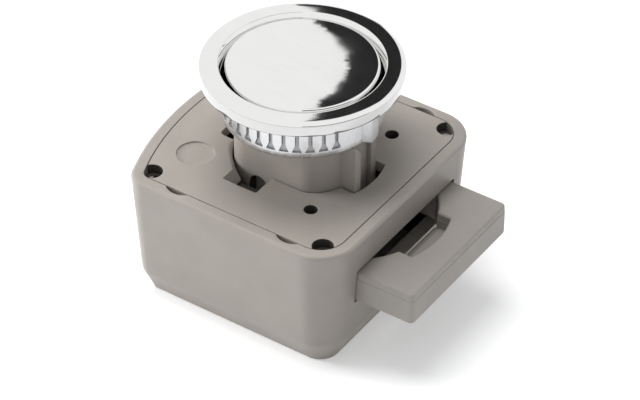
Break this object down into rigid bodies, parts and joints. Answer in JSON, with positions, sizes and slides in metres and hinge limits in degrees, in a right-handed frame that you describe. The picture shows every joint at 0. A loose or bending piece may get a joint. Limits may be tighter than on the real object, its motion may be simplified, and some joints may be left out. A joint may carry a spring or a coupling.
{
  "type": "push button cabinet lock",
  "caption": "Push button lock for a cabinet or locker door: pushing the round button throws a broad bolt, pushing again draws it in.",
  "frame": {"origin": "button axis on the door face of the case, the outer face of the cover", "axes": "+Z along the button axis out through the door, +X the way the bolt leaves the case, +Y across the bolt"},
  "size_m": [0.0572, 0.0464, 0.0444],
  "materials": {
    "case_plastic": "satin moulded warm grey",
    "bolt_plastic": "satin moulded warm grey",
    "chrome": "polished, with the collar as cast and plated",
    "steel": "zinc plated",
    "acetal": "natural acetal"
  },
  "bodies": {
    "case": {"case_shell": "case_plastic", "cover_plate": "case_plastic", "guide_tower": "case_plastic", "tower_screws": "steel", "rosette": "chrome", "pin_spring": "steel", "plunger_spring": "steel", "bolt_spring_left": "steel", "bolt_spring_right": "steel"},
    "button": {"button_cap": "chrome", "cap_clip": "steel", "plunger": "acetal", "heart_cam": "steel", "drive_pin": "steel"},
    "bolt": {"latch_bolt": "bolt_plastic"},
    "follower": {"cam_pin": "steel"}
  },
  "joints": [
    {"name": "button_slide", "type": "slide", "parent": "case", "child": "button", "axis": [0, 0, 1], "range_m": [0, 0.0086], "deforming": ["plunger_spring"]},
    {"name": "bolt_slide", "type": "slide", "parent": "case", "child": "bolt", "axis": [-1, 0, 0], "range_m": [0, 0.0105], "deforming": ["bolt_spring_left", "bolt_spring_right"]},
    {"name": "follower_swing", "type": "hinge", "parent": "case", "child": "follower", "pos_m": [-0.0134, 0, -0.019], "axis": [1, 0, 0], "range_deg": [0, 14]}
  ],
  "couplings": [
    {"joint": "bolt_slide", "follows": "button_slide", "ratio": 1.2209},
    {"joint": "follower_swing", "follows": "button_slide", "rad_per_m": 28.41}
  ]
}
